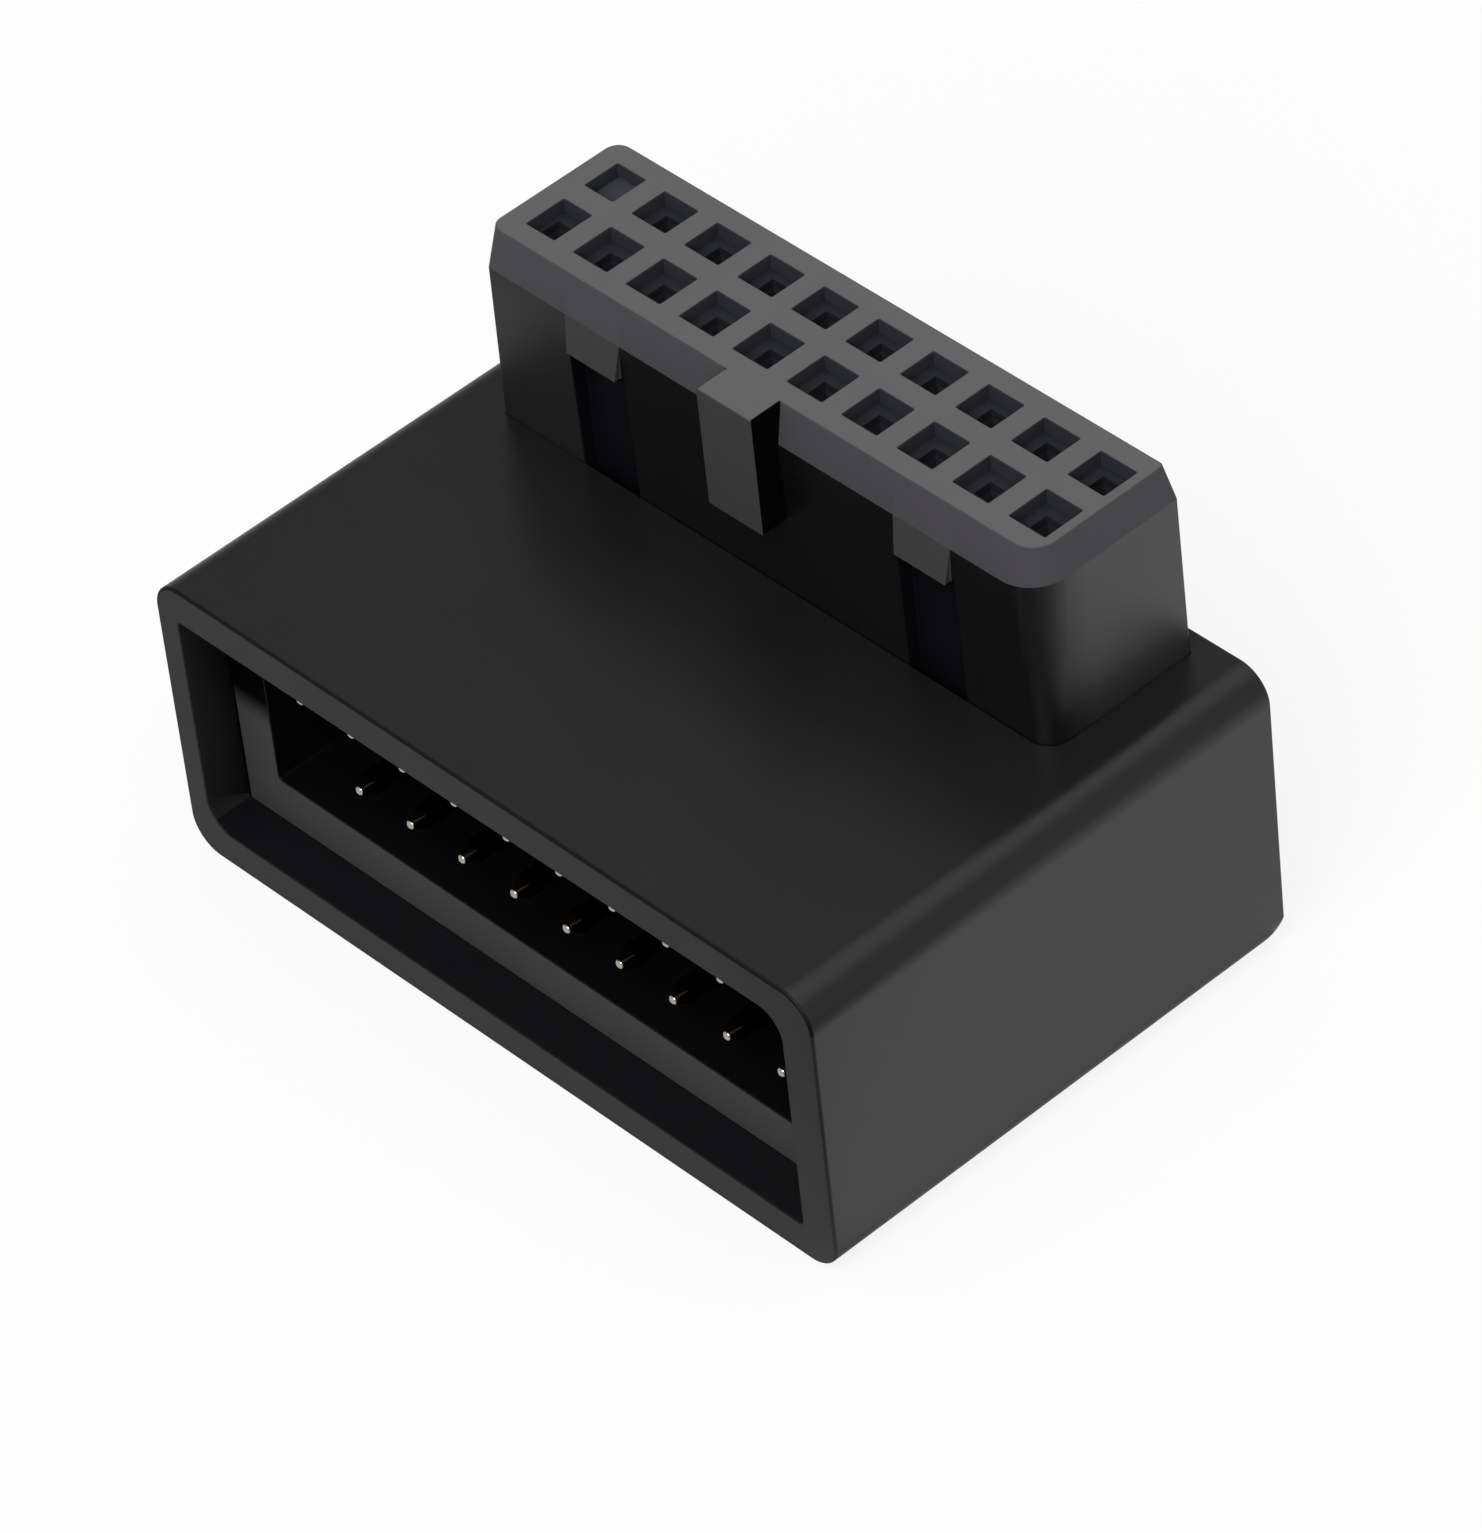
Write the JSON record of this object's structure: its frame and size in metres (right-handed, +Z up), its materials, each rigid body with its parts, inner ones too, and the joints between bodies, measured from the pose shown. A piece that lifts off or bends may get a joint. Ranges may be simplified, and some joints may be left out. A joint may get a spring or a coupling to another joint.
{
  "type": "usb header adapter",
  "caption": "Right-angle adapter for an internal board header: flat black shell with a recessed pin header in its front and a keyed socket block standing on its top.",
  "frame": {"origin": "middle of the shell's flat bottom, which is also the middle of the object's box", "axes": "+X along the contact rows, +Y from the open front towards the back, +Z up, the way the socket points"},
  "size_m": [0.0248, 0.0162, 0.0158],
  "materials": {
    "shell_plastic": "black moulded plastic, satin",
    "header_plastic": "black moulded plastic, satin",
    "socket_plastic": "dark grey moulded plastic, satin",
    "board_laminate": "glass and resin laminate under green solder resist",
    "contact_metal": "bright gold plating on copper alloy"
  },
  "bodies": {
    "root": {"bottom_cover": "shell_plastic", "circuit_board": "board_laminate", "header_housing": "header_plastic", "header_pin_lower_02": "contact_metal", "header_pin_lower_03": "contact_metal", "header_pin_lower_04": "contact_metal", "header_pin_lower_05": "contact_metal", "header_pin_lower_06": "contact_metal", "header_pin_lower_07": "contact_metal", "header_pin_lower_08": "contact_metal", "header_pin_lower_09": "contact_metal", "header_pin_lower_10": "contact_metal", "header_pin_upper_01": "contact_metal", "header_pin_upper_02": "contact_metal", "header_pin_upper_03": "contact_metal", "header_pin_upper_04": "contact_metal", "header_pin_upper_05": "contact_metal", "header_pin_upper_06": "contact_metal", "header_pin_upper_07": "contact_metal", "header_pin_upper_08": "contact_metal", "header_pin_upper_09": "contact_metal", "header_pin_upper_10": "contact_metal", "shell": "shell_plastic", "socket_contact_back_02": "contact_metal", "socket_contact_back_03": "contact_metal", "socket_contact_back_04": "contact_metal", "socket_contact_back_05": "contact_metal", "socket_contact_back_06": "contact_metal", "socket_contact_back_07": "contact_metal", "socket_contact_back_08": "contact_metal", "socket_contact_back_09": "contact_metal", "socket_contact_back_10": "contact_metal", "socket_contact_front_01": "contact_metal", "socket_contact_front_02": "contact_metal", "socket_contact_front_03": "contact_metal", "socket_contact_front_04": "contact_metal", "socket_contact_front_05": "contact_metal", "socket_contact_front_06": "contact_metal", "socket_contact_front_07": "contact_metal", "socket_contact_front_08": "contact_metal", "socket_contact_front_09": "contact_metal", "socket_contact_front_10": "contact_metal", "socket_housing": "socket_plastic"}
  },
  "joints": []
}
